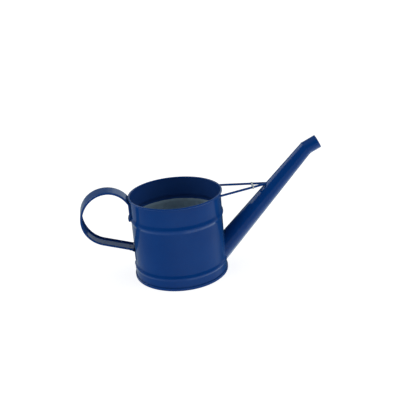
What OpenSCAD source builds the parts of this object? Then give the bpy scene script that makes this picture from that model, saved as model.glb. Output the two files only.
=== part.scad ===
// Sheet-metal watering can: round beaded body, long tapered spout with a bent tip,
// wire brace from the rim to the spout, and a D-shaped strap handle.
// Millimetres, +Z up. The origin is the centre of the base, on the surface it stands on.
// +X points to the spout, -X to the handle, and the XZ plane is the plane of symmetry.

/* [Body] */
// Height to the top of the rolled rim
body_h = 136.5; // [132:0.5:142]
// Radius over the rolled rim
rim_r = 75; // [74.6:0.1:75.6]
// Wall radius between the upper bead and the rim
neck_r = 72.7; // [72.5:0.1:73]
// Wall radius just under the upper bead
shoulder_r = 73; // [72.7:0.1:73.4]
// Wall radius just above the lower bead
waist_r = 73.4; // [73:0.1:73.8]
// Wall radius of the band under the lower bead
band_r = 74.8; // [74.4:0.1:75.1]
// Thickness of the sheet metal
sheet = 0.6; // [0.5:0.05:0.7]
// Diameter of the rim, rolled outwards round its wire
roll_d = 3.2; // [3:0.1:3.4]
// Width of the folded side seam
side_seam_w = 5; // [4:0.5:7]

/* [Beads] */
// Height of the lower bead's middle
lower_bead_z = 20.6; // [20:0.2:22]
// Height of the upper bead's middle
upper_bead_z = 99.8; // [98:0.2:102]
// Height of the lower bead
lower_bead_h = 9.6; // [8:0.2:11]
// Height of the upper bead
upper_bead_h = 13.6; // [12:0.2:15]
// How far a bead stands out of the wall
bead_lift = 1.8; // [1.4:0.1:2.2]

/* [Base] */
// Radius over the folded base seam
seam_r = 76.4; // [76:0.1:77]
// Height of the folded base seam
seam_h = 4.5; // [4:0.1:5.5]
// Height of the recessed floor's underside
floor_z = 3; // [2.5:0.1:3.5]

/* [Spout] */
// Angle of the spout's axis above level
spout_angle = 47.9; // [46:0.1:50]
// Distance from the body's axis to the centre of the elbow
elbow_x = 210.6; // [200:0.2:215]
// Height of the centre of the elbow
elbow_z = 188.2; // [182:0.2:194]
// Length of the cone's axis, from inside the wall to the elbow
spout_len = 221.6; // [215:0.2:226]
// Outer radius at the lower end of that axis
spout_foot_r = 17.9; // [16:0.1:18.5]
// Outer radius of the spout at the elbow, and of its tip
spout_top_r = 10.8; // [9:0.1:12]
// Angle of the tip above level
tip_angle = 26.6; // [20:0.1:34]
// Length of the tip's axis
tip_len = 21.5; // [18:0.5:28]

/* [Handle] */
// Width of the strap
strap_w = 28; // [20:0.5:30]
// Thickness of the strap
strap_t = 0.9; // [0.8:0.1:1.2]
// Depth of the strap's turned-in edges
edge_d = 4.2; // [3.5:0.1:6]
// Thickness of the turned-in edges, folded double
edge_t = 1.6; // [1.2:0.1:2]
// Distance from the body's axis to the centre of the loop
loop_x = 108.2; // [107:0.2:111]
// Height of the centre of the loop's main arc
loop_z = 104.9; // [104:0.1:107]
// Outer radius of the loop's main arc
loop_r = 45.4; // [44:0.1:46]
// Outer radius of the arc that leads back to the wall
return_r = 39.5; // [38.5:0.1:40.5]
// Height at which the strap's lower run meets the wall
lower_run_z = 46.8; // [45:0.2:50]

/* [Brace] */
// Diameter of the brace rods
rod_d = 3.6; // [3.2:0.1:3.7]
// Angle between the spout's direction and each rod's foot on the wall
foot_angle = 21.3; // [16:0.1:26]
// Height of the rods' feet, just under the rim
foot_z = 131.3; // [128:0.1:131.3]
// Distance from the body's axis to the rods' upper ends on the spout
apex_x = 144.5; // [142:0.5:147]
// Height of the rods' upper ends
apex_z = 135.8; // [133:0.1:137]
// Distance from the body's axis to the clip across the rods
clip_x = 124; // [115:0.5:130]
// Width of the clip's band
clip_w = 2.6; // [2:0.1:4]
// Thickness of the clip's band
clip_t = 0.7; // [0.5:0.1:1]

/* [Hidden] */
$fn = 96;
paint_blue = [0.09, 0.20, 0.44];
bare_steel = [0.62, 0.64, 0.64];

// Room left between curved faces that lie on each other
gap = 0.04;
// More than any part measures, for cutting tools
far = 400;
// Steps along a bead's profile
bead_steps = 14;
// Rim roll: centre and radii of the wire and of the sheet round it
roll_r = roll_d / 2;
roll_x = rim_r - roll_r;
roll_z = body_h - roll_r;
wire_r = roll_r - sheet;
// The wall stands on the base seam's lower fold and runs up into the roll
wall_bottom = sheet;
wall_top = roll_z - 0.8 * wire_r;
// Sheet folded double in the base seam
fold_t = seam_r - band_r - gap;
lower_bead_half = lower_bead_h / 2;
upper_bead_half = upper_bead_h / 2;
mitre_angle = (spout_angle + tip_angle) / 2;
solder_w = 1.3;
// Steps round the strap's return arc, and how far its ends go past the wall before they are cut
arc_steps = 20;
beyond_wall = 6;
apex_y = rod_d / 2 + 0.1;

// Smooth step from 0 to 1
function ease(t) = t <= 0 ? 0 : t >= 1 ? 1 : (1 - cos(180 * t)) / 2;
// Smooth hump of height 1 and half-width half
function hump(d, half) = abs(d) >= half ? 0 : (1 + cos(180 * d / half)) / 2;
function mix(a, b, t) = a + (b - a) * t;
function on_circle(centre, r, angle) = centre + r * [cos(angle), sin(angle)];
// Radius of the wall without its beads
function plain_r(z) =
    z < lower_bead_z + lower_bead_half
        ? mix(band_r, waist_r, ease((z - lower_bead_z + lower_bead_half) / lower_bead_h))
    : z < upper_bead_z - upper_bead_half
        ? mix(waist_r, shoulder_r, (z - lower_bead_z - lower_bead_half)
            / (upper_bead_z - upper_bead_half - lower_bead_z - lower_bead_half))
    : mix(shoulder_r, neck_r, ease((z - upper_bead_z + upper_bead_half) / upper_bead_h));
// Outer radius of the wall at height z
function wall_r(z) = plain_r(z) + bead_lift * (hump(z - lower_bead_z, lower_bead_half)
    + hump(z - upper_bead_z, upper_bead_half));
function bead_heights(z, half) = [for (i = [0:bead_steps]) z - half + 2 * half * i / bead_steps];

wall_heights = concat(
    [wall_bottom],
    bead_heights(lower_bead_z, lower_bead_half),
    bead_heights(upper_bead_z, upper_bead_half),
    [wall_top]
);
// Radius of the cone's outside at a distance from the elbow, measured down its axis
function spout_r(d) = mix(spout_top_r, spout_foot_r, d / spout_len);

// The arc that leads back to the wall, and the height at which it gets there
return_z = loop_z + loop_r - return_r;
return_end_angle = acos((loop_x - neck_r) / return_r);
upper_end_z = return_z + return_r * sin(return_end_angle);
// The strap leaves that arc a little earlier, and its deeper layers land lower on the wall
straight_angle = return_end_angle + 12;
land_slope = 1.2;
upper_tab_bottom = upper_bead_z + 1.2;
lower_tab_bottom = lower_bead_z + lower_bead_half + 2;
tab_half_angle = asin(strap_w / 2 / neck_r);

// The lower run is tangent to the main arc and ends at the wall
run_end = [-waist_r, lower_run_z];
run_to_centre = [-loop_x, loop_z] - run_end;
run_len = sqrt(run_to_centre * run_to_centre - loop_r * loop_r);
run_angle = atan2(run_to_centre[1], run_to_centre[0]) + atan2(loop_r, run_len);
run_start_angle = run_angle + 90;

// Foot and upper end of a rod on the side y = side
function rod_foot(side) = [neck_r * cos(foot_angle), side * neck_r * sin(foot_angle), foot_z];
function rod_apex(side) = [apex_x, side * apex_y, apex_z];
function rod_at(x) = mix(rod_foot(1), rod_apex(1), (x - rod_foot(1)[0]) / (apex_x - rod_foot(1)[0]));

// ---- Shared shapes -------------------------------------------------------------------

// Everything inside the wall's outside face moved out by grow, up to just under the roll
module body_mass(grow = gap) {
    outline = concat([[0, 0]], [for (z = wall_heights) [wall_r(z) + grow, z]], [[0, wall_top]]);
    rotate_extrude() polygon(outline);
}

// Places children on the spout's axis, with +Z up the spout and the origin at the elbow
module on_spout() {
    translate([elbow_x, 0, elbow_z]) rotate([0, 90 - spout_angle, 0]) children();
}

// Places children on the tip's axis, with +Z towards the outlet and the origin at the elbow
module on_tip() {
    translate([elbow_x, 0, elbow_z]) rotate([0, 90 - tip_angle, 0]) children();
}

// The half space beyond the mitre at the elbow
module beyond_mitre(shift = 0) {
    translate([elbow_x, 0, elbow_z]) rotate([0, 90 - mitre_angle, 0])
        translate([-far / 2, -far / 2, shift]) cube([far, far, far]);
}

// Solid cone in line with the spout, its radius changed by grow
module spout_cone(grow) {
    above = 12;
    on_spout() translate([0, 0, -spout_len]) cylinder(
        h = spout_len + above,
        r1 = spout_r(spout_len) + grow,
        r2 = spout_r(-above) + grow
    );
}

// Solid cylinder in line with the tip, its radius changed by grow
module tip_cylinder(grow, length) {
    below = 12;
    on_tip() translate([0, 0, -below]) cylinder(h = length + below, r = spout_top_r + grow);
}

// Points of the strap seen from the side, at a depth under its outside face
function on_return(depth, angle) = on_circle([-loop_x, return_z], return_r - depth, angle);
function on_loop(depth, angle) = on_circle([-loop_x, loop_z], loop_r - depth, angle);
// From past the wall to where the strap leaves the arc that leads back to it
function upper_end(depth) =
    let (start = on_return(depth, straight_angle), wall = [-neck_r, upper_end_z - land_slope * depth])
    [wall + beyond_wall * (wall - start) / norm(wall - start), start];
// From past the wall at the rim, round the loop, to past the wall at the lower end
function strap_line(depth) = concat(
    upper_end(depth),
    [for (i = [1:arc_steps]) on_return(depth, mix(straight_angle, 90, i / arc_steps))],
    [for (i = [1:2 * arc_steps]) on_loop(depth, mix(90, run_start_angle, i / arc_steps / 2))],
    [on_loop(depth, run_start_angle)
        + (run_len + beyond_wall) * [-sin(run_start_angle), cos(run_start_angle)]]
);

// Length of the strap between two depths
module strap_band(depth0, depth1, width) {
    inner = strap_line(depth1);
    rotate([90, 0, 0]) linear_extrude(height = width, center = true) polygon(concat(
        strap_line(depth0),
        [for (i = [len(inner) - 1:-1:0]) inner[i]]
    ));
}

// Tab of the strap lying on the wall between two heights, not yet cut to the wall
module wall_tab(z0, z1) {
    buried = 3;
    inner = [for (z = [z0, z1]) [wall_r(z) - buried, z]];
    outer = [for (z = [z1, z0]) [wall_r(z) + gap + strap_t, z]];
    rotate([0, 0, 180 - tab_half_angle])
        rotate_extrude(angle = 2 * tab_half_angle) polygon(concat(inner, outer));
}

// The strap's turned-in edges where they run on down the upper tab, single there, as far as
// the upper bead, on which the tab ends
module upper_tab_edges() {
    behind = 3;
    z0 = upper_tab_bottom + strap_t;
    for (side = [-1, 1])
        translate([-neck_r - edge_d, (side * (strap_w - edge_t) - strap_t) / 2, z0])
            cube([edge_d + behind, strap_t, upper_end_z - z0]);
}

// Places children on a rod's axis, with +Z up the rod and the origin at its foot
module on_rod(side) {
    run = rod_apex(side) - rod_foot(side);
    tilt = atan2(norm([run[0], run[1]]), run[2]);
    translate(rod_foot(side)) rotate([0, tilt, atan2(run[1], run[0])]) children();
}

// A rod's cylinder made longer at both ends, its diameter changed by grow
module long_rod(grow) {
    buried = 5;
    reach = norm(rod_apex(1) - rod_foot(1));
    translate([0, 0, -buried]) cylinder(h = reach + 2 * buried, d = rod_d + grow);
}

// Cutting tool for what is fitted round a rod
module rod_bore() {
    long_rod(2 * gap);
}

// Rod from the wall to the spout, on the side y = side
module brace_rod(side) {
    difference() {
        intersection() {
            on_rod(side) long_rod(0);
            translate([0, side > 0 ? gap / 2 : -far - gap / 2, 0]) cube(far);
        }
        body_mass();
        spout_cone(gap);
    }
}

// ---- Parts ---------------------------------------------------------------------------

// Rolled wall with two swaged beads, a folded side seam at the back, a rim rolled round
// its wire and the spout's opening
module body_shell() {
    outside = [for (z = wall_heights) [wall_r(z), z]];
    inside = [for (i = [len(wall_heights) - 1:-1:0]) [wall_r(wall_heights[i]) - sheet, wall_heights[i]]];
    seam_z0 = lower_run_z + strap_t + 1;
    seam_z1 = upper_bead_z - upper_bead_half;
    seam_angle = 2 * asin(side_seam_w / 2 / neck_r);
    color(paint_blue) difference() {
        union() {
            rotate_extrude() {
                polygon(concat(outside, inside));
                translate([roll_x, roll_z]) difference() {
                    circle(r = roll_r);
                    circle(r = wire_r);
                }
            }
            rotate([0, 0, 180 - seam_angle / 2]) rotate_extrude(angle = seam_angle) polygon([
                [wall_r(seam_z0) - sheet / 2, seam_z0],
                [wall_r(seam_z0) + sheet, seam_z0],
                [wall_r(seam_z1) + sheet, seam_z1],
                [wall_r(seam_z1) - sheet / 2, seam_z1]
            ]);
        }
        spout_cone(-sheet);
    }
}

// Steel wire that stiffens the rolled rim
module rim_wire() {
    color(bare_steel) rotate_extrude() translate([roll_x, roll_z]) circle(r = wire_r - gap);
}

// Recessed floor, with its edge turned down inside the wall and folded up round the outside
module bottom_pan() {
    inside_r = band_r - sheet - gap;
    color(paint_blue) rotate_extrude() polygon([
        [0, floor_z],
        [inside_r - sheet, floor_z],
        [inside_r - sheet, 0],
        [seam_r, 0],
        [seam_r, seam_h],
        [seam_r - fold_t, seam_h],
        [seam_r - fold_t, wall_bottom],
        [inside_r, wall_bottom],
        [inside_r, floor_z + sheet],
        [0, floor_z + sheet]
    ]);
}

// Tapered spout, cut to sit on the wall and mitred at the elbow
module spout_tube() {
    color(paint_blue) difference() {
        spout_cone(0);
        spout_cone(-sheet);
        body_mass();
        beyond_mitre();
    }
}

// Short straight tip beyond the elbow
module spout_tip() {
    color(paint_blue) intersection() {
        difference() {
            tip_cylinder(0, tip_len);
            tip_cylinder(-sheet, tip_len + 1);
        }
        beyond_mitre(gap);
    }
}

// Solder fillet round the spout's foot
module spout_solder() {
    color(paint_blue) difference() {
        intersection() {
            spout_cone(solder_w);
            body_mass(gap + solder_w);
            translate([0, -far / 2, seam_h + gap]) cube([far, far, far]);
        }
        spout_cone(gap);
        body_mass();
    }
}

// Solder bead round the mitre at the elbow, wide enough to clear both tubes
module elbow_solder() {
    bead_w = 1.4;
    inner_r = spout_top_r / cos((spout_angle - tip_angle) / 2) + 0.17;
    outer_r = inner_r + 0.5;
    color(paint_blue) translate([elbow_x, 0, elbow_z]) rotate([0, 90 - mitre_angle, 0])
        rotate_extrude() polygon([
            [inner_r, -bead_w / 2],
            [outer_r, -bead_w / 4],
            [outer_r, bead_w / 4],
            [inner_r, bead_w / 2]
        ]);
}

// Strap bent into a D, with both edges turned in and a tab at each end
module handle_strap() {
    color(paint_blue) difference() {
        union() {
            difference() {
                strap_band(0, edge_d, strap_w);
                strap_band(strap_t, edge_d + 1, strap_w - 2 * edge_t);
            }
            wall_tab(upper_tab_bottom, upper_end_z - strap_t / 2);
            upper_tab_edges();
            wall_tab(lower_tab_bottom, lower_run_z + strap_t / 2);
        }
        body_mass();
    }
}

// Far rod of the brace, seen with the spout to the right
module brace_rod_left() {
    color(paint_blue) brace_rod(1);
}

// Near rod of the brace, seen with the spout to the right
module brace_rod_right() {
    color(paint_blue) brace_rod(-1);
}

// Band that ties the two rods together near the spout
module brace_clip() {
    at = rod_at(clip_x);
    half_w = at[1] + 0.6;
    inner_r = rod_d / 2 + 0.12;
    color(bare_steel) translate([clip_x - clip_w / 2, 0, at[2]])
        rotate([90, 0, 90]) linear_extrude(height = clip_w) difference() {
            long_hole(half_w, inner_r + clip_t);
            long_hole(half_w, inner_r);
        }
}

// Oblong with round ends: centres at x = -half_w and half_w, radius r
module long_hole(half_w, r) {
    for (side = [-1, 1]) translate([side * half_w, 0]) circle(r = r);
    square([2 * half_w, 2 * r], center = true);
}

// Solder where the rods land on the spout
module brace_apex_solder() {
    blob_r = rod_d + 0.4;
    color(paint_blue) difference() {
        translate([apex_x, 0, apex_z - 1.2]) sphere(r = blob_r);
        spout_cone(gap);
        for (side = [-1, 1]) on_rod(side) rod_bore();
    }
}

// Collar of solder round each rod at the wall, kept clear of the rolled rim
module brace_foot_solder() {
    stand_out = 3.2;
    color(paint_blue) difference() {
        for (side = [-1, 1]) on_rod(side) cylinder(h = stand_out, d1 = rod_d + 3, d2 = rod_d + 0.4);
        body_mass();
        for (side = [-1, 1]) on_rod(side) rod_bore();
        translate([0, 0, roll_z - roll_r - gap]) cylinder(r = far, h = far);
    }
}

body_shell();
rim_wire();
bottom_pan();
spout_tube();
spout_tip();
spout_solder();
elbow_solder();
handle_strap();
brace_rod_left();
brace_rod_right();
brace_clip();
brace_apex_solder();
brace_foot_solder();
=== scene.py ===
"""Looks of a round sheet-metal watering can: beaded wall with a rolled rim, folded base seam,
tapered spout with a bent tip, wire brace with its clip, and a D-shaped strap handle.

Geometry is worked out in millimetres in the row frame and scaled to metres when a mesh is made.
"""

import math

import bmesh
import bpy
from mathutils import Matrix, Vector, noise


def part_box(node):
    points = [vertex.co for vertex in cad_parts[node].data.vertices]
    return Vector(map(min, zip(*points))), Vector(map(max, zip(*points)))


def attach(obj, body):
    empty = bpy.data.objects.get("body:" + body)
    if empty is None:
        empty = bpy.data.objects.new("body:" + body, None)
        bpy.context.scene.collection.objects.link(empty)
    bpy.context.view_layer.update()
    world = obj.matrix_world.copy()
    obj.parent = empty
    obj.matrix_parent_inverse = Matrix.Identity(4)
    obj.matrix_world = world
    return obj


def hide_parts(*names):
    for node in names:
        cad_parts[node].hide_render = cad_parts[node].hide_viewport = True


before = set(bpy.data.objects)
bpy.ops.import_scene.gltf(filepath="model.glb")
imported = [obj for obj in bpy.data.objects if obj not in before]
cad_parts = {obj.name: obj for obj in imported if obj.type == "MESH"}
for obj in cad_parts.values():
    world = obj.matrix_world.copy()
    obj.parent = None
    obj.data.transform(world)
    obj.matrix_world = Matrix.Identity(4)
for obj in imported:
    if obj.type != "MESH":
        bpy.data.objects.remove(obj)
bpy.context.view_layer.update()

MM = 0.001
TAU = 2 * math.pi


# ---- Sizes, in millimetres -----------------------------------------------------------------

def box_mm(node):
    low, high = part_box(node)
    return low / MM, high / MM


wire_low, wire_high = box_mm("rim_wire")
pan_low, pan_high = box_mm("bottom_pan")
clip_low, clip_high = box_mm("brace_clip")

# Sheet metal, the rolled rim round its wire, and the folded base seam
SHEET = 0.6
WIRE_R = (wire_high.z - wire_low.z) / 2
ROLL_X = wire_high.y - WIRE_R
ROLL_Z = (wire_high.z + wire_low.z) / 2
ROLL_R = WIRE_R + SHEET + 0.04
SEAM_R = pan_high.y
SEAM_H = pan_high.z
FLOOR_Z = 3.0
FLOOR_TOP = FLOOR_Z + SHEET

# The wall's outside radii from the base up, and each bead's middle height, half width and lift
BAND_R, WAIST_R, SHOULDER_R, NECK_R = 74.8, 73.4, 73.0, 72.7
LOWER_BEAD, UPPER_BEAD = (20.6, 4.8), (99.8, 6.8)
LOWER_LIFT, UPPER_LIFT = 1.3, 1.8
SIDE_SEAM_W = 5.0
WALL_TOP = ROLL_Z - ROLL_R

# The spout's and the tip's angles over the level, and the elbow where their axes meet
SPOUT_ANGLE, TIP_ANGLE = math.radians(47.9), math.radians(26.6)
ELBOW = Vector((210.6, 0, 188.2))
SPOUT_LEN, SPOUT_FOOT_R, SPOUT_TOP_R = 221.6, 17.9, 10.8
TIP_LEN = 21.5

# The strap and its rolled edges, the loop's centre and radii, and how it ends on the wall
STRAP_W, STRAP_T, ROLL_D = 28.0, 0.9, 3.3
LOOP_X, LOOP_Z, LOOP_R, RETURN_R = 108.2, 104.9, 45.4, 39.5
LOWER_RUN_Z = 46.8
UPPER_TAB_Z = UPPER_BEAD[0] - 1.5
LOWER_TAB_Z = LOWER_BEAD[0] + LOWER_BEAD[1] + 2
HEM_R = 1.75

# The strap is bent by hand: at the back of the loop its left edge stands out a little
STRAP_TWIST, TWIST_HEADING, TWIST_SPREAD = (math.radians(a) for a in (8, 235, 75))
TWIST_BEHIND_X = -75

# The brace's wires: where their middles meet the wall, and where they land on the spout
ROD_R = 1.8
FOOT_ANGLE, FOOT_Z = math.radians(21.3), 131.3
APEX = Vector((144.5, ROD_R + 0.1, 135.8))

# Height on the inside where the blue coat ends and the bare metal begins
COAT_END_Z = 97.3


def mix(a, b, t):
    return a + (b - a) * t


def ease(t):
    """0 to 1, starting and ending gently."""
    t = min(max(t, 0), 1)
    return (1 - math.cos(math.pi * t)) / 2


def hump(d, half):
    """1 in the middle, falling gently to 0 at a distance of half."""
    return 0 if abs(d) >= half else (1 + math.cos(math.pi * d / half)) / 2


def wall_r(z):
    """Radius of the wall's outside at height z."""
    low_z, low_half = LOWER_BEAD
    up_z, up_half = UPPER_BEAD
    if z < low_z + low_half:
        plain = mix(BAND_R, WAIST_R, ease((z - low_z + low_half) / (2 * low_half)))
    elif z < up_z - up_half:
        run = (up_z - up_half) - (low_z + low_half)
        plain = mix(WAIST_R, SHOULDER_R, (z - low_z - low_half) / run)
    else:
        plain = mix(SHOULDER_R, NECK_R, ease((z - up_z + up_half) / (2 * up_half)))
    return plain + LOWER_LIFT * hump(z - low_z, low_half) + UPPER_LIFT * hump(z - up_z, up_half)


def wall_normal(p):
    """Outward normal of the wall's outside at a point on it."""
    step = 0.05
    slope = (wall_r(p.z + step) - wall_r(p.z - step)) / (2 * step)
    radial = Vector((p.x, p.y, 0)).normalized()
    return (radial - Vector((0, 0, slope))).normalized()


def past_wall(p, offset=0.0):
    """How far a point is outside the wall's outer face, measured level."""
    return math.hypot(p.x, p.y) - wall_r(p.z) - offset


SPOUT_AXIS = Vector((math.cos(SPOUT_ANGLE), 0, math.sin(SPOUT_ANGLE)))
SPOUT_UP = Vector((-math.sin(SPOUT_ANGLE), 0, math.cos(SPOUT_ANGLE)))
TIP_AXIS = Vector((math.cos(TIP_ANGLE), 0, math.sin(TIP_ANGLE)))
TIP_UP = Vector((-math.sin(TIP_ANGLE), 0, math.cos(TIP_ANGLE)))
SIDE = Vector((0, 1, 0))
HALF_BEND = (SPOUT_ANGLE - TIP_ANGLE) / 2


def spout_r(d):
    """Outside radius of the spout at a distance d down its axis from the elbow."""
    return mix(SPOUT_TOP_R, SPOUT_FOOT_R, d / SPOUT_LEN)


def past_spout(p, offset=0.0):
    """How far a point is outside the spout's cone."""
    rel = p - ELBOW
    d = -rel.dot(SPOUT_AXIS)
    return (rel + d * SPOUT_AXIS).length - spout_r(d) - offset


def bisect(f, a, b):
    """Where f changes sign between a and b, with f(a) on the other side from f(b)."""
    sign = f(a) > 0
    for _ in range(40):
        m = (a + b) / 2
        if (f(m) > 0) == sign:
            a = m
        else:
            b = m
    return (a + b) / 2


def waver(p, size, seed):
    """Smooth noise from -1 to 1 that changes over about size millimetres."""
    return noise.noise(Vector(p) / size + Vector((seed * 7.3, seed * 3.1, seed * 1.7)))


# ---- Meshes --------------------------------------------------------------------------------

def make_mesh(name, points, faces, materials, sharp=40, face_slots=None):
    """Object from points in millimetres, smooth except where faces meet at over sharp degrees."""
    mesh = bpy.data.meshes.new(name)
    mesh.from_pydata([tuple(c * MM for c in p) for p in points], [], faces)
    for m in materials:
        mesh.materials.append(m)
    if face_slots:
        mesh.polygons.foreach_set("material_index", face_slots)
    mesh.shade_smooth()
    mesh.set_sharp_from_angle(angle=math.radians(sharp))
    mesh.validate()
    mesh.update()
    obj = bpy.data.objects.new(name, mesh)
    bpy.context.scene.collection.objects.link(obj)
    return obj


def finish_piece(obj, node):
    """The piece rides on the can's one body and stands for its CAD node."""
    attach(obj, "root")
    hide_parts(node)
    return obj


def grid_faces(rows, columns, row_loop, column_loop, base=0):
    """Quads between rows of points, each row of the same number of columns."""
    faces = []
    for i in range(rows if row_loop else rows - 1):
        i2 = (i + 1) % rows
        for j in range(columns if column_loop else columns - 1):
            j2 = (j + 1) % columns
            faces.append((base + i * columns + j, base + i * columns + j2,
                          base + i2 * columns + j2, base + i2 * columns + j))
    return faces


def capped_grid(rows, columns, base=0):
    """Closed tube through rows of points, each row a closed outline, with flat ends."""
    faces = grid_faces(rows, columns, False, True, base)
    faces.append(tuple(base + j for j in reversed(range(columns))))
    last = base + (rows - 1) * columns
    faces.append(tuple(last + j for j in range(columns)))
    return faces


def turned(faces):
    """The faces with their other side out."""
    return [tuple(reversed(f)) for f in faces]


def angles_with_detail(steps, centre, half_width, detail):
    """Angles round a full turn, with a finer stretch round one place."""
    coarse = [TAU * i / steps for i in range(steps)]
    fine = [centre - half_width + 2 * half_width * i / detail for i in range(detail + 1)]
    keep = [a for a in coarse if abs(a - centre) > half_width + TAU / steps / 3]
    return sorted(keep + fine)


def arc_points(cx, cy, r, a0, a1, steps):
    """Points of an arc in a plane, angles in degrees."""
    angles = [math.radians(mix(a0, a1, i / steps)) for i in range(steps + 1)]
    return [(cx + r * math.cos(a), cy + r * math.sin(a)) for a in angles]


def fix_normals(obj):
    """Turns every face of a closed mesh outwards."""
    b = bmesh.new()
    b.from_mesh(obj.data)
    bmesh.ops.recalc_face_normals(b, faces=b.faces)
    b.to_mesh(obj.data)
    b.free()


def merge_close(obj):
    """Joins points that lie on each other."""
    b = bmesh.new()
    b.from_mesh(obj.data)
    bmesh.ops.remove_doubles(b, verts=b.verts, dist=0.00001)
    b.to_mesh(obj.data)
    b.free()


def apply_modifiers(obj):
    """Puts the modified shape into the object's own mesh."""
    bpy.context.view_layer.update()
    evaluated = obj.evaluated_get(bpy.context.evaluated_depsgraph_get())
    mesh = bpy.data.meshes.new_from_object(evaluated)
    obj.modifiers.clear()
    obj.data = mesh


# ---- Materials -----------------------------------------------------------------------------

class Nodes:
    """Short way to build one material's node tree."""

    def __init__(self, name):
        self.material = bpy.data.materials.new(name)
        self.material.use_nodes = True
        self.tree = self.material.node_tree
        self.shader = self.tree.nodes["Principled BSDF"]
        self.place = self.add("ShaderNodeTexCoord").outputs["Object"]

    def add(self, kind, **values):
        node = self.tree.nodes.new(kind)
        for key, value in values.items():
            setattr(node, key, value)
        return node

    def link(self, source, target):
        self.tree.links.new(source, target)

    def noise(self, scale, detail=3.0, roughness=0.5, stretch=(1, 1, 1)):
        """Noise with features about 1/scale metres wide."""
        mapping = self.add("ShaderNodeMapping")
        mapping.inputs["Scale"].default_value = stretch
        self.link(self.place, mapping.inputs["Vector"])
        node = self.add("ShaderNodeTexNoise")
        node.inputs["Scale"].default_value = scale
        node.inputs["Detail"].default_value = detail
        node.inputs["Roughness"].default_value = roughness
        self.link(mapping.outputs["Vector"], node.inputs["Vector"])
        return node.outputs["Fac"]

    def height(self):
        """The surface's height above the base, in metres."""
        split = self.add("ShaderNodeSeparateXYZ")
        self.link(self.place, split.inputs["Vector"])
        return split.outputs["Z"]

    def math(self, operation, *values):
        node = self.add("ShaderNodeMath", operation=operation)
        for socket, value in zip(node.inputs, values):
            if isinstance(value, (int, float)):
                socket.default_value = value
            else:
                self.link(value, socket)
        return node.outputs["Value"]

    def ramp(self, value, *stops):
        """Colours or greys at places from 0 to 1."""
        node = self.add("ShaderNodeValToRGB")
        ramp = node.color_ramp
        while len(ramp.elements) < len(stops):
            ramp.elements.new(0.5)
        for element, (where, colour) in zip(ramp.elements, stops):
            element.position = where
            shade = (colour,) * 3 if isinstance(colour, (int, float)) else colour
            element.color = (*shade, 1)
        self.link(value, node.inputs["Fac"])
        return node.outputs["Color"]

    def mix(self, fac, a, b, blend="MIX"):
        node = self.add("ShaderNodeMix", data_type="RGBA", blend_type=blend)
        for socket, value in ((node.inputs[0], fac), (node.inputs[6], a), (node.inputs[7], b)):
            if isinstance(value, (int, float)):
                socket.default_value = value
            elif isinstance(value, tuple):
                socket.default_value = (*value, 1)
            else:
                self.link(value, socket)
        return node.outputs[2]

    def bump(self, *layers):
        """Bumps laid on each other: (height, metres)."""
        below = None
        for value, depth in layers:
            node = self.add("ShaderNodeBump")
            node.inputs["Strength"].default_value = 1.0
            node.inputs["Distance"].default_value = depth
            self.link(value, node.inputs["Height"])
            if below:
                self.link(below, node.inputs["Normal"])
            below = node.outputs["Normal"]
        self.link(below, self.shader.inputs["Normal"])

    def set(self, **values):
        """Fills the shader's sockets and gives the material."""
        for key, value in values.items():
            socket = self.shader.inputs[key.replace("_", " ")]
            if isinstance(value, (int, float, tuple)):
                socket.default_value = value
            else:
                self.link(value, socket)
        return self.material


BLUE = (0.0010, 0.041, 0.207)
BLUE_DEEP = (0.0006, 0.034, 0.185)
BLUE_CHALKY = (0.005, 0.060, 0.215)
# Greyer blue for the inside coat: a painted reflection, a veil of reflected light put into the
# colour
BLUE_WITH_PAINTED_VEIL = (0.016, 0.056, 0.215)
BARE = (0.300, 0.410, 0.490)
BARE_DARK = (0.280, 0.400, 0.490)
BARE_LIGHT = (0.55, 0.57, 0.58)

# How pale the floor is, and the brightness that it has of its own
FLOOR_GREY, FLOOR_GLOW = 0.45, 0.82


def paint_layers(n):
    """Colour, roughness and bump layers of the gloss blue coat."""
    broad = n.noise(18, detail=4)
    fine = n.noise(420, detail=4, roughness=0.6)
    scuffs = n.noise(900, detail=2, stretch=(1, 1, 0.08))
    colour = n.mix(n.ramp(broad, (0.30, 0), (0.72, 1)), BLUE_DEEP, BLUE)
    dust = n.ramp(fine, (0.58, 0), (0.80, 0.30))
    colour = n.mix(dust, colour, BLUE_CHALKY)
    rough = n.ramp(n.mix(0.4, broad, scuffs), (0.25, 0.05), (0.75, 0.13))
    return colour, rough, [(n.noise(60, detail=2), 0.00035), (n.noise(380, detail=2), 0.00003)]


def blue_paint():
    n = Nodes("gloss_blue_paint")
    colour, rough, bumps = paint_layers(n)
    n.bump(*bumps)
    return n.set(Base_Color=colour, Roughness=rough, Specular_IOR_Level=0.17,
                 Sheen_Weight=0.06, Sheen_Roughness=0.5, Sheen_Tint=(0.45, 1.0, 1.0, 1))


def bare_layers(n):
    """Colour, roughness and bump layers of dull galvanised steel, with its pale flowers."""
    flowers = n.add("ShaderNodeTexVoronoi")
    flowers.inputs["Scale"].default_value = 130
    n.link(n.place, flowers.inputs["Vector"])
    facets = n.ramp(flowers.outputs["Color"], (0.15, 0.35), (0.85, 0.75))
    stain = n.noise(26, detail=5)
    colour = n.mix(n.ramp(stain, (0.35, 0), (0.68, 1)), BARE_DARK, BARE)
    colour = n.mix(0.35, colour, facets, "MULTIPLY")
    rough = n.ramp(stain, (0.3, 0.62), (0.7, 0.46))
    return colour, rough, [(n.noise(500, detail=3), 0.00004)]


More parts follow.
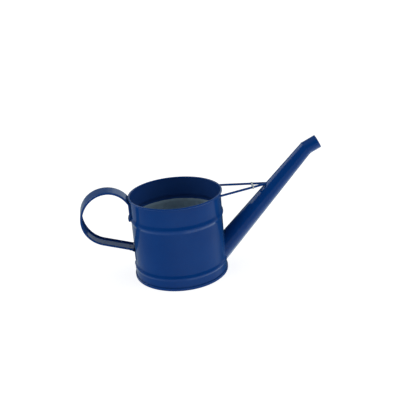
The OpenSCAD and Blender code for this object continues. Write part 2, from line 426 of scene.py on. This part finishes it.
def coat_and_bare():
    """The inside: blue coat near the rim, greyed by a painted reflection veil, and bare metal
    below a slightly ragged level edge.
    """
    n = Nodes("blue_over_bare_inside")
    blue, blue_rough, blue_bumps = paint_layers(n)
    bare, bare_rough, _ = bare_layers(n)
    ragged = n.math("MULTIPLY", n.math("SUBTRACT", n.noise(90, detail=5), 0.5), 0.0022)
    above = n.math("SUBTRACT", n.math("ADD", n.height(), ragged), COAT_END_Z * MM)
    coat = n.ramp(n.math("MULTIPLY_ADD", above, 2500.0, 0.5), (0.4, 0), (0.6, 1))
    # Painted reflection: the inside blue is greyed towards a veil of reflected light
    blue = n.mix(0.7, blue, BLUE_WITH_PAINTED_VEIL)
    n.bump(*blue_bumps)
    return n.set(Base_Color=n.mix(coat, bare, blue), Roughness=n.mix(coat, bare_rough, blue_rough),
                 Specular_IOR_Level=0.2)


def bare_steel(name, light):
    """Bare galvanised steel, from dull at a light of 0 to clean at 1."""
    n = Nodes(name)
    colour, rough, bumps = bare_layers(n)
    n.bump(*bumps)
    return n.set(Base_Color=n.mix(light, colour, BARE_LIGHT), Roughness=rough, Metallic=0.35)


def pale_floor():
    """Plain pale floor that glows a little, so that it stays white far from the lights."""
    n = Nodes("pale_floor")
    grain = n.noise(6, detail=2)
    return n.set(Base_Color=n.ramp(grain, (0.0, FLOOR_GREY - 0.01), (1.0, FLOOR_GREY + 0.01)),
                 Roughness=0.9, Specular_IOR_Level=0.0, Emission_Color=(1, 1, 1, 1),
                 Emission_Strength=FLOOR_GLOW)


PAINT = blue_paint()
INSIDE = coat_and_bare()
BARE_STEEL = bare_steel("dull_galvanised_steel", 0.0)
CLIP_STEEL = bare_steel("light_clip_steel", 0.8)


# ---- Wall, rim and base --------------------------------------------------------------------

def seam_lift(angle, z):
    """Height of the folded side seam over the wall, at the back."""
    across = (angle - math.pi) * NECK_R
    edge = 0.35
    flat = ease((SIDE_SEAM_W / 2 - abs(across)) / edge)
    groove = 0.3 * hump(across - SIDE_SEAM_W / 2 + 0.9, 0.45)
    return max(0.0, 0.5 * flat - groove) * ease((WALL_TOP - z) / 3) * ease((z - SEAM_H) / 2)


def wall_heights():
    """Heights of the wall's rows of points, closer together at the beads."""
    zs = [SHEET]
    z = SHEET
    while z < WALL_TOP - 0.4:
        near_bead = any(abs(z - mid) < half + 1 for mid, half in (LOWER_BEAD, UPPER_BEAD))
        z += 0.45 if near_bead else 2.2
        zs.append(min(z, WALL_TOP - 0.2))
    return zs


def wall_waver(a, z):
    """How far the hand-rolled sheet strays from round."""
    place = (math.cos(a) * 3, math.sin(a) * 3, z / 30)
    return 0.10 * waver(place, 1.0, 1) * ease(z / 8) * ease((128 - z) / 12)


def wall():
    """The rolled sheet with its beads, side seam and rim."""
    zs = wall_heights()
    outside = [(wall_r(z), z, 1) for z in zs]
    curl = [(r, z, 0) for r, z in arc_points(ROLL_X, ROLL_Z, ROLL_R, -112, 203, 35)]
    inside = [(wall_r(z) - SHEET, z, 0) for z in reversed(zs)]
    profile = outside + curl + inside
    angles = angles_with_detail(300, math.pi, SIDE_SEAM_W / 2 / NECK_R + 0.01, 48)
    points = []
    for a in angles:
        for r, z, is_outside in profile:
            r += seam_lift(a, z) if is_outside else 0
            r += wall_waver(a, z)
            points.append((r * math.cos(a), r * math.sin(a), z))
    columns = len(profile)
    faces = grid_faces(len(angles), columns, True, True)
    first_inside = len(outside) + len(curl) - 2
    slots = [1 if j >= first_inside and j < columns - 1 else 0
             for _ in range(len(angles)) for j in range(columns)]
    obj = make_mesh("wall", points, turned(faces), [PAINT, INSIDE], face_slots=slots)
    cut_spout_hole(obj)
    return finish_piece(obj, "body_shell")


def cut_spout_hole(obj):
    """Opens the wall where the spout's bore meets it."""
    around = 96
    reaches = (SPOUT_LEN + 10, 150)
    points = [cone_point(TAU * j / around, d, spout_r(d) - SHEET)
              for d in reaches for j in range(around)]
    cutter = make_mesh("spout_hole_cutter", points, capped_grid(len(reaches), around), [INSIDE])
    cut = obj.modifiers.new("spout_hole", "BOOLEAN")
    cut.operation = "DIFFERENCE"
    cut.solver = "EXACT"
    cut.object = cutter
    apply_modifiers(obj)
    bpy.data.objects.remove(cutter)


def base():
    """Recessed floor with the fold that grips the wall."""
    fold_r = 0.75
    inner = BAND_R - SHEET - 0.04
    stand = inner - SHEET
    outer = (arc_points(SEAM_R - fold_r, fold_r, fold_r, -90, 0, 6)
             + arc_points(SEAM_R - fold_r, SEAM_H - fold_r, fold_r, 0, 90, 6)
             + [(BAND_R + 0.05, SEAM_H), (BAND_R + 0.05, SHEET)])
    corner = 1.2
    top_floor = ([(inner, SHEET)]
                 + arc_points(inner - corner, FLOOR_TOP - corner, corner, 0, 90, 6)[1:])
    under = [(stand - 1.6, FLOOR_Z), (stand - 0.6, FLOOR_Z - 0.3), (stand, FLOOR_Z - 1.2),
             (stand, 0.35), (stand + 0.35, 0)]
    ring = [(62, 0), (60, 0.5), (57, 0.5), (55, 0)]
    upper = [(inner - 8, FLOOR_TOP)] + [(r, FLOOR_TOP + h) for r, h in ring]
    lower = [(r, FLOOR_Z + h) for r, h in reversed(ring)] + [(inner - 8, FLOOR_Z)]
    centre_top = [(r, FLOOR_TOP) for r in (40, 20, 0.02)]
    centre_low = [(r, FLOOR_Z) for r in (0.02, 20, 40)]
    profile = outer + top_floor + upper + centre_top + centre_low + lower + under
    around = 240
    points = [(r * math.cos(TAU * i / around), r * math.sin(TAU * i / around), z)
              for i in range(around) for r, z in profile]
    faces = turned(grid_faces(around, len(profile), True, True))
    first_top = len(outer)
    last_top = first_top + len(top_floor) + len(upper) + len(centre_top) - 1
    slots = [1 if first_top <= j < last_top else 0
             for _ in range(around) for j in range(len(profile))]
    obj = make_mesh("base", points, faces, [PAINT, BARE_STEEL], sharp=50, face_slots=slots)
    return finish_piece(obj, "bottom_pan")


# ---- Spout ---------------------------------------------------------------------------------

def lap_lift(a):
    """Height of the lap seam along the spout's underside."""
    across = (a - math.pi) * 14
    return 0.45 * ease((across + 2.2) / 0.4) * ease((2.6 - across) / 1.8)


def cone_point(a, d, r):
    """Point round the spout's axis, d down it from the elbow, r out; a is 0 on top."""
    return ELBOW - d * SPOUT_AXIS + r * (math.cos(a) * SPOUT_UP + math.sin(a) * SIDE)


def tip_point(a, t, r):
    """Point round the tip's axis, t along it from the elbow."""
    return ELBOW + t * TIP_AXIS + r * (math.cos(a) * TIP_UP + math.sin(a) * SIDE)


def mitre_d(a, r):
    """Where a line r from the axis meets the mitre between spout and tip."""
    return -r * math.cos(a) * math.tan(HALF_BEND)


def foot_d(a, inset, offset):
    """Distance down the axis at which a line on the cone reaches the wall."""
    def past(d):
        return past_wall(cone_point(a, d, spout_r(d) - inset), offset)

    return bisect(past, 100, SPOUT_LEN + 6)


def spout():
    """Tapered tube, lapped along its underside, from the wall to the mitre."""
    steps = 26
    angles = angles_with_detail(120, math.pi, 0.24, 44)
    points = []
    for a in angles:
        low = foot_d(a, 0, 0.02)
        high = mitre_d(a, SPOUT_TOP_R)
        for i in range(steps + 1):
            d = mix(low, high, i / steps)
            lift = lap_lift(a) * ease((d - 3) / 6)
            lift += 0.07 * waver((a, d / 25, 0), 1.0, 2) * ease(d / 12)
            points.append(cone_point(a, d, spout_r(d) + lift))
        low = foot_d(a, SHEET, 0.02)
        high = mitre_d(a, SPOUT_TOP_R - SHEET)
        for i in range(steps, -1, -1):
            d = mix(low, high, i / steps)
            points.append(cone_point(a, d, spout_r(d) - SHEET))
    faces = grid_faces(len(angles), 2 * (steps + 1), True, True)
    obj = make_mesh("spout", points, faces, [PAINT])
    return finish_piece(obj, "spout_tube")


def tip():
    """Short straight tube beyond the mitre, its lip rounded."""
    lip = SHEET / 2
    bore_r = SPOUT_TOP_R - SHEET
    straight_to = TIP_LEN - 1
    around, steps = 120, 5
    points = []
    ends = arc_points(TIP_LEN - lip, SPOUT_TOP_R - lip, lip, 90, -90, 8)
    for j in range(around):
        a = TAU * j / around
        start = mitre_d(a, SPOUT_TOP_R) + 0.02
        inner_start = mitre_d(a, bore_r) + 0.02
        for i in range(steps + 1):
            points.append(tip_point(a, mix(start, straight_to, i / steps), SPOUT_TOP_R))
        for t, r in ends:
            points.append(tip_point(a, t, r))
        for i in range(steps, -1, -1):
            points.append(tip_point(a, mix(inner_start, straight_to, i / steps), bore_r))
    faces = grid_faces(around, 2 * (steps + 1) + len(ends), True, True)
    obj = make_mesh("spout_end", points, turned(faces), [PAINT])
    return finish_piece(obj, "spout_tip")


def fillet_between(name, curve, normals_a, normals_b, width, node, seed):
    """Hollow solder fillet along a closed curve, between two surfaces with these normals."""
    count = len(curve)
    points = []
    columns = 8
    for i, p in enumerate(curve):
        along = (curve[(i + 1) % count] - curve[i - 1]).normalized()
        to_a = normals_a[i].cross(along).normalized()
        to_b = normals_b[i].cross(along).normalized()
        to_a *= 1 if to_a.dot(normals_b[i]) > 0 else -1
        to_b *= 1 if to_b.dot(normals_a[i]) > 0 else -1
        w = width * (1 + 0.18 * waver(p, 6, seed))
        start = p + w * to_a + 0.03 * normals_a[i]
        end = p + w * to_b + 0.03 * normals_b[i]
        middle = p + 0.30 * w * (to_a + to_b)
        for k in range(columns - 1):
            t = k / (columns - 2)
            points.append((1 - t) ** 2 * start + 2 * t * (1 - t) * middle + t ** 2 * end)
        points.append(p - 0.2 * (normals_a[i] + normals_b[i]))
    faces = grid_faces(count, columns, True, True)
    obj = make_mesh(name, points, faces, [PAINT], sharp=60)
    fix_normals(obj)
    return finish_piece(obj, node)


def foot_fillet():
    """Solder where the spout meets the wall."""
    around = 220
    angles = [TAU * j / around for j in range(around)]
    reaches = [foot_d(a, 0, 0) for a in angles]
    curve = [cone_point(a, d, spout_r(d)) for a, d in zip(angles, reaches)]
    wall_normals = [wall_normal(p) for p in curve]
    cone_normals = [math.cos(a) * SPOUT_UP + math.sin(a) * SIDE for a in angles]
    return fillet_between("spout_foot_solder", curve, wall_normals, cone_normals, 1.25,
                          "spout_solder", 3)


def elbow_bead():
    """Low bead of solder round the mitre."""
    around, section = 120, 12
    mitre_up = (SPOUT_UP + TIP_UP).normalized()
    mitre_out = (SPOUT_AXIS + TIP_AXIS).normalized()
    points = []
    for j in range(around):
        a = TAU * j / around
        centre = cone_point(a, mitre_d(a, SPOUT_TOP_R), SPOUT_TOP_R)
        radial = (math.cos(a) * mitre_up + math.sin(a) * SIDE).normalized()
        tall = 0.42 * (1 + 0.25 * waver(centre, 3, 4))
        wide = 0.75
        for k in range(section):
            b = TAU * k / section
            points.append(centre + tall * math.cos(b) * radial + wide * math.sin(b) * mitre_out)
    obj = make_mesh("elbow_bead", points, grid_faces(around, section, True, True), [PAINT])
    fix_normals(obj)
    return finish_piece(obj, "elbow_solder")


# ---- Handle --------------------------------------------------------------------------------

def tangent_place(centre, r, from_point, side):
    """Angle on a circle at which a line from a point touches it."""
    away = from_point - centre
    return math.atan2(away.y, away.x) + side * math.acos(r / away.length)


def arc_places(c, r, a0, a1, steps, sign=1):
    """Places (point, heading) round an arc, running with growing angles if the sign is 1."""
    angles = [mix(a0, a1, i / steps) for i in range(steps + 1)]
    return [(c + r * Vector((math.cos(a), math.sin(a))), a + sign * math.pi / 2) for a in angles]


def strap_path():
    """Outside face of the strap in the side view, as lists of (point, heading): the upper tab,
    the bend away from it, the loop, the lower run, its bend and the lower tab."""
    upper_x = -(wall_r(120) + 0.04)
    lower_x = -(wall_r(38) + 0.04 + STRAP_T)
    centre = Vector((-LOOP_X, LOOP_Z))
    back = Vector((-LOOP_X, LOOP_Z + LOOP_R - RETURN_R))
    blend_r = 10.0
    dx = upper_x - blend_r - back.x
    blend_z = back.y + math.sqrt((RETURN_R - blend_r) ** 2 - dx ** 2)
    join = math.atan2(blend_z - back.y, dx)
    run_end = Vector((-WAIST_R, LOWER_RUN_Z))
    touch = tangent_place(centre, LOOP_R, run_end, -1) % TAU
    heading = touch + math.pi / 2
    run_from = centre + LOOP_R * Vector((math.cos(touch), math.sin(touch)))
    run_dir = Vector((math.cos(heading), math.sin(heading)))
    bend_r = 1.6
    corner = run_from + run_dir * ((lower_x - run_from.x) / run_dir.x)
    turn = heading - 3 * math.pi / 2
    setback = bend_r * math.tan(abs(turn) / 2)
    bend_from = corner - run_dir * setback
    bend_centre = bend_from + bend_r * Vector((run_dir.y, -run_dir.x))

    up_heights = [mix(UPPER_TAB_Z, blend_z, i / 20) for i in range(20)]
    up = [(Vector((-(wall_r(z) + 0.04), z)), math.pi / 2) for z in up_heights]
    blend = arc_places(Vector((upper_x - blend_r, blend_z)), blend_r, 0, join, 6)
    loop = arc_places(back, RETURN_R, join, math.pi / 2, 26)[1:]
    loop += arc_places(centre, LOOP_R, math.pi / 2, touch, 60)[1:]
    run = [(mix(run_from, bend_from, i / 16), heading) for i in range(1, 16)]
    start = math.atan2(bend_from.y - bend_centre.y, bend_from.x - bend_centre.x)
    bend = arc_places(bend_centre, bend_r, start, start + turn, 8, sign=-1)
    down = [(Vector((lower_x, mix(bend[-1][0].y, LOWER_TAB_Z, i / 14))), 3 * math.pi / 2)
            for i in range(1, 15)]
    return up, blend, loop, run, bend, down


def channel_section():
    """Closed outline (inwards, across) of the strap: flat, with each edge rolled inwards."""
    roll_r = ROLL_D / 2
    rolls_from = STRAP_W / 2 - roll_r
    side = [(0, y) for y in (0.0, rolls_from / 2)]
    side += arc_points(roll_r, rolls_from, roll_r, 180, -110, 22)
    side += arc_points(roll_r, rolls_from, roll_r - STRAP_T, -110, 180, 14)
    side += [(STRAP_T, rolls_from / 2)]
    mirrored = [(n, -y) for n, y in reversed(side[1:])]
    return side + [(STRAP_T, 0.0)] + mirrored


def tab_section(half):
    """Closed outline of the flat strap, its edges rounded."""
    r = STRAP_T / 2
    ys = [i * half / 8 for i in range(8)]
    side = [(0, y) for y in ys if y < half - r]
    side += arc_points(r, half - r, r, 180, 0, 6)
    side += [(STRAP_T, y) for y in reversed(ys) if 0 < y < half - r]
    mirrored = [(n, -y) for n, y in reversed(side[1:])]
    return side + [(STRAP_T, 0.0)] + mirrored


def strap_twist(p, heading):
    """Angle that the strap is turned by about its own length."""
    if p.x > TWIST_BEHIND_X:
        return 0
    return STRAP_TWIST * hump(heading % TAU - TWIST_HEADING, TWIST_SPREAD)


def round_wall(y):
    """How far the wall's outside curves back at a distance y from its middle line."""
    return NECK_R - math.sqrt(NECK_R ** 2 - y ** 2)


def sweep_strap(places, section_at, hug_at):
    """Points of a section carried along (point, heading) places; hug_at is how much a place
    follows the round wall."""
    points = []
    for i, (p, heading) in enumerate(places):
        inwards = Vector((-math.sin(heading), math.cos(heading)))
        hug = hug_at(i)
        twist = math.sin(strap_twist(p, heading))
        for n, y in section_at(i):
            q = p + (n - y * twist) * inwards
            points.append((q.x + hug * round_wall(y), y, q.y))
    return points


def end_hem():
    """Points of the hem that the strap's upper end is turned into, a round bar across it that
    follows the wall, and the number of its sides."""
    steps, sides = 30, 18
    reach = STRAP_W / 2 - 0.4
    middle_z = UPPER_TAB_Z + HEM_R
    points = []
    for i in range(steps + 1):
        y = reach * math.sin(mix(-math.pi / 2, math.pi / 2, i / steps))
        r = HEM_R * math.sqrt(1 - (0.9 * y / reach) ** 8)
        x = round_wall(y) - wall_r(middle_z) - HEM_R
        for k in range(sides):
            a = TAU * k / sides
            points.append((x + r * math.cos(a), y, middle_z + 1.3 * r * math.sin(a)))
    return points, sides


def handle():
    """Strap with rolled edges, bent into a D: they run down its upper tab, and its lower tab
    is flat."""
    up, blend, loop, run, bend, down = strap_path()
    channel = up + blend + loop + run + bend[:1]
    half = STRAP_W / 2

    lower = run[-2:] + bend + down
    count = len(lower)

    def channel_hug(i):
        return ease((len(up) + len(blend) - 1 - i) / len(blend))

    def tab_hug(i):
        return ease(i / (len(bend) + 1))

    def rounded_tab(i):
        reach = 4
        from_end = min(count - 1 - i, reach) / reach
        return tab_section(half * (0.62 + 0.38 * math.sin(math.pi / 2 * from_end)))

    section = channel_section()
    points = sweep_strap(channel, lambda i: section, channel_hug)
    faces = capped_grid(len(channel), len(section))
    faces += capped_grid(count, len(tab_section(half)), len(points))
    points += sweep_strap(lower, rounded_tab, tab_hug)
    hem, hem_sides = end_hem()
    faces += capped_grid(len(hem) // hem_sides, hem_sides, len(points))
    points += hem
    obj = make_mesh("handle", points, faces, [PAINT], sharp=50)
    fix_normals(obj)
    return finish_piece(obj, "handle_strap")


# ---- Brace ---------------------------------------------------------------------------------

def rod_ends(side):
    """Where the middle of a wire meets the wall, and where it lands on the spout."""
    foot = Vector((NECK_R * math.cos(FOOT_ANGLE), side * NECK_R * math.sin(FOOT_ANGLE), FOOT_Z))
    apex = Vector((APEX.x, side * APEX.y, APEX.z))
    return foot, apex


def across_rod(axis):
    """Two directions square to a wire and to each other."""
    u = axis.cross(Vector((0, 0, 1))).normalized()
    return u, u.cross(axis).normalized()


def rod(side, name, node):
    """Wire from the wall to the spout, each of its lines cut where it meets them."""
    foot, apex = rod_ends(side)
    axis = (apex - foot).normalized()
    u, v = across_rod(axis)
    around, steps = 28, 40
    points = []
    for i in range(steps + 1):
        for j in range(around):
            a = TAU * j / around
            out = ROD_R * (math.cos(a) * u + math.sin(a) * v)
            near = bisect(lambda t: past_wall(foot + t * axis + out, -0.25), -5, 20)
            far = bisect(lambda t: past_spout(foot + t * axis + out, -0.25), 60, 95)
            place = foot + mix(near, far, i / steps) * axis
            ripple = 1 + 0.02 * waver(place, 9, side + 5)
            points.append(place + ripple * out)
    obj = make_mesh(name, points, capped_grid(steps + 1, around), [PAINT], sharp=60)
    fix_normals(obj)
    return finish_piece(obj, node)


def clip():
    """Light band round both wires, pinched together between them."""
    centre = (clip_low + clip_high) / 2
    width = clip_high.x - clip_low.x
    band = 0.7
    outer_r = (clip_high.z - clip_low.z) / 2
    reach = (clip_high.y - clip_low.y) / 2 - outer_r
    mid_r = outer_r - band / 2
    bend_share, pinch = 0.16, 0.62
    count = 120

    def middle_line(i):
        """Middle of the band, as (across, up): half of it, then the same turned half round."""
        t = i / count
        turn = 1 if t < 0.5 else -1
        t %= 0.5
        if t < bend_share:
            a = math.radians(mix(-90, 90, t / bend_share))
            return turn * (reach + mid_r * math.cos(a)), turn * mid_r * math.sin(a)
        y = mix(reach, -reach, (t - bend_share) / (0.5 - bend_share))
        return turn * y, turn * mid_r * (1 - pinch * hump(y, reach * 0.95))

    section = []
    r = 0.22
    for cx, cy, a0 in ((width / 2 - r, band / 2 - r, 0), (-width / 2 + r, band / 2 - r, 90),
                       (-width / 2 + r, -band / 2 + r, 180), (width / 2 - r, -band / 2 + r, 270)):
        section += arc_points(cx, cy, r, a0, a0 + 90, 3)
    points = []
    for i in range(count):
        y, z = middle_line(i)
        y0, z0 = middle_line((i - 1) % count)
        y1, z1 = middle_line((i + 1) % count)
        along = Vector((y1 - y0, z1 - z0)).normalized()
        out = Vector((0, along.y, -along.x))
        for along_x, outwards in section:
            points.append(centre + Vector((along_x, y, z)) + outwards * out)
    faces = grid_faces(count, len(section), True, True)
    obj = make_mesh("clip", points, faces, [CLIP_STEEL], sharp=60)
    fix_normals(obj)
    return finish_piece(obj, "brace_clip")


def apex_solder():
    """Rounded lump of solder, flat on the spout, where both wires land on it."""
    centre = Vector((APEX.x - 0.2, 0, APEX.z - 0.6))
    radius, squeeze, buried = 3.3, Vector((1.05, 0.95, 0.8)), -0.2
    rows, around = 20, 36
    points = []
    for i in range(rows + 1):
        for j in range(around):
            up = math.pi * i / rows
            a = TAU * j / around
            level = math.sin(up)
            direction = squeeze * Vector((level * math.cos(a), level * math.sin(a), math.cos(up)))
            r = radius * (1 + 0.10 * waver(direction * 4, 2.2, 6))
            if past_spout(centre + r * direction, buried) < 0 < past_spout(centre, buried):
                r = bisect(lambda t: past_spout(centre + t * direction, buried), 0, r)
            points.append(centre + r * direction)
    faces = grid_faces(rows + 1, around, False, True)
    obj = make_mesh("brace_solder", points, faces, [PAINT], sharp=70)
    merge_close(obj)
    fix_normals(obj)
    return finish_piece(obj, "brace_apex_solder")


def foot_collars():
    """Collar of solder round each wire at the wall."""
    points, faces = [], []
    around, steps = 32, 8
    for side in (-1, 1):
        foot, apex = rod_ends(side)
        axis = (apex - foot).normalized()
        u, v = across_rod(axis)
        first = len(points)
        for i in range(steps + 1):
            t = i / steps
            for j in range(around):
                a = TAU * j / around
                flare = 1.25 + 0.25 * waver((a, side, 0), 0.7, 7)
                spread = ROD_R - 0.15 + flare * (1 - t) ** 2.2
                out = spread * (math.cos(a) * u + math.sin(a) * v)
                near = bisect(lambda s: past_wall(foot + s * axis + out, -0.1), -6, 20)
                points.append(foot + (near + 2.6 * t) * axis + out)
        faces += capped_grid(steps + 1, around, first)
    obj = make_mesh("brace_collars", points, faces, [PAINT], sharp=60)
    fix_normals(obj)
    return finish_piece(obj, "brace_foot_solder")


# ---- Stage ---------------------------------------------------------------------------------

def soft_sun(name, azimuth, elevation, spread, strength):
    """Even light from a wide patch of the room. It isn't itself seen in the gloss."""
    data = bpy.data.lights.new(name, "SUN")
    data.angle = math.radians(spread)
    data.energy = strength
    lamp = bpy.data.objects.new(name, data)
    az, el = math.radians(azimuth), math.radians(elevation)
    towards = Vector((math.cos(az) * math.cos(el), math.sin(az) * math.cos(el), math.sin(el)))
    lamp.rotation_euler = towards.to_track_quat("Z", "Y").to_euler()
    lamp.visible_glossy = False
    bpy.context.scene.collection.objects.link(lamp)


def floor():
    """Plain pale floor just under the can."""
    far, low = 12.0, -0.0002
    mesh = bpy.data.meshes.new("floor")
    corners = [(-far, -far, low), (far, -far, low), (far, far, low), (-far, far, low)]
    mesh.from_pydata(corners, [], [(0, 1, 2, 3)])
    mesh.materials.append(pale_floor())
    obj = bpy.data.objects.new("floor", mesh)
    bpy.context.scene.collection.objects.link(obj)
    obj.visible_glossy = False


def camera():
    """Standing in front of the can and looking down at it, turned a little to the right."""
    radius = 0.075
    distance, lift = 13.89 * radius, 0.9 * radius
    down, pan, tilt, roll = (math.radians(a) for a in (23.519, 2.182, 2.614, -4.708))
    position = Vector((0, -distance * math.cos(down), lift + distance * math.sin(down)))
    forward = Vector((0, math.cos(down), -math.sin(down)))
    right = Vector((1, 0, 0))
    up = right.cross(forward)
    forward = (forward * math.cos(pan) * math.cos(tilt) + right * math.sin(pan) * math.cos(tilt)
               + up * math.sin(tilt))
    right = forward.cross(Vector((0, 0, 1))).normalized()
    up = right.cross(forward)
    rolled_right = right * math.cos(roll) + up * math.sin(roll)
    rolled_up = up * math.cos(roll) - right * math.sin(roll)
    turn = Matrix((rolled_right, rolled_up, -forward)).transposed().to_4x4()
    data = bpy.data.cameras.new("camera")
    data.sensor_width = 36
    data.lens = 57.73
    data.clip_start = 0.01
    cam = bpy.data.objects.new("camera", data)
    cam.matrix_world = Matrix.Translation(position) @ turn
    bpy.context.scene.collection.objects.link(cam)
    bpy.context.scene.camera = cam


# Brightness of the parts of the room
GROUND_FRONT, GROUND_FRONT_LEFT = 0.82, 0.36
GROUND_BELOW, GROUND_BELOW_RIGHT = 0.8, 1.95
GROUND_BEHIND, GROUND_BEHIND_LEFT = 0.04, 0.42
WALL_BEHIND, WALL_BEHIND_LEFT, WALL_BEHIND_RIGHT = 0.5, 0.27, 0.9
WALL_IN_FRONT, CEILING, AMBIENT = 0.06, 0.5, 0.12
WINDOW_AT, WINDOW_BRIGHT = (-0.74, 0.43, 0.52), 3.4
ROOM_TINT = (0.88, 1.0, 1.0, 1)


def room():
    """What the gloss mirrors: a pale floor in front and under the can, a darker one behind, a dim
    wall behind it and a soft window at the back on the left. Whatever isn't mirrored gets an even
    dim light, and to the eye the room is white."""
    world = bpy.data.worlds.new("studio")
    bpy.context.scene.world = world
    world.use_nodes = True
    tree = world.node_tree

    def socket(value, target):
        if isinstance(value, (int, float)):
            target.default_value = value
        else:
            tree.links.new(value, target)

    def fade(value, start, stop, at_start, at_stop):
        node = tree.nodes.new("ShaderNodeMapRange")
        node.interpolation_type = "SMOOTHSTEP"
        for name, setting in (("Value", value), ("From Min", start), ("From Max", stop),
                              ("To Min", at_start), ("To Max", at_stop)):
            socket(setting, node.inputs[name])
        return node.outputs["Result"]

    def multiply_add(a, b, c):
        node = tree.nodes.new("ShaderNodeMath")
        node.operation = "MULTIPLY_ADD"
        for value, target in zip((a, b, c), node.inputs):
            socket(value, target)
        return node.outputs[0]

    towards = tree.nodes.new("ShaderNodeTexCoord").outputs["Generated"]
    split = tree.nodes.new("ShaderNodeSeparateXYZ")
    tree.links.new(towards, split.inputs["Vector"])
    across, back, up = split.outputs["X"], split.outputs["Y"], split.outputs["Z"]
    window = tree.nodes.new("ShaderNodeVectorMath")
    window.operation = "DOT_PRODUCT"
    tree.links.new(towards, window.inputs[0])
    window.inputs[1].default_value = Vector(WINDOW_AT).normalized()
    wall_left = fade(across, -0.09, 0.02, WALL_BEHIND_LEFT, WALL_BEHIND)
    wall_behind = fade(across, 0.06, 0.15, wall_left, WALL_BEHIND_RIGHT)
    walls = fade(up, 0.6, 0.92, fade(back, -0.2, 0.7, WALL_IN_FRONT, wall_behind), CEILING)
    in_front = fade(across, -1.0, 0.2, GROUND_FRONT_LEFT, GROUND_FRONT)
    behind = fade(across, -0.2, 0.2, GROUND_BEHIND_LEFT, GROUND_BEHIND)
    below = fade(across, 0.05, 0.3, GROUND_BELOW, GROUND_BELOW_RIGHT)
    ground = fade(up, -0.75, -0.5, below, fade(back, 0.1, 0.62, in_front, behind))
    dim = fade(up, -0.06, 0.02, ground, walls)
    shade = multiply_add(fade(window.outputs["Value"], 0.89, 0.97, 0, 1), WINDOW_BRIGHT, dim)
    path = tree.nodes.new("ShaderNodeLightPath").outputs
    shade = fade(path["Is Glossy Ray"], 0, 1, AMBIENT, shade)
    background = tree.nodes["Background"]
    tint = tree.nodes.new("ShaderNodeMix")
    tint.data_type = "RGBA"
    tint.inputs[6].default_value = ROOM_TINT
    tint.inputs[7].default_value = (1, 1, 1, 1)
    tree.links.new(path["Is Camera Ray"], tint.inputs[0])
    tree.links.new(tint.outputs[2], background.inputs["Color"])
    tree.links.new(fade(path["Is Camera Ray"], 0, 1, shade, 1.0), background.inputs["Strength"])


def stage():
    """Floor, room and three soft lights."""
    floor()
    room()
    soft_sun("left_light", 185, 28, 80, 1.2)
    soft_sun("right_light", -5, 28, 80, 1.35)
    soft_sun("ceiling_light", 90, 75, 70, 0.5)
    bpy.context.scene.view_settings.view_transform = "Standard"


# ---- The can -------------------------------------------------------------------------------

wall()
base()
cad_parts["rim_wire"].data.materials.clear()
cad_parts["rim_wire"].data.materials.append(BARE_STEEL)
spout()
tip()
foot_fillet()
elbow_bead()
handle()
rod(1, "brace_wire_left", "brace_rod_left")
rod(-1, "brace_wire_right", "brace_rod_right")
clip()
apex_solder()
foot_collars()
camera()
stage()
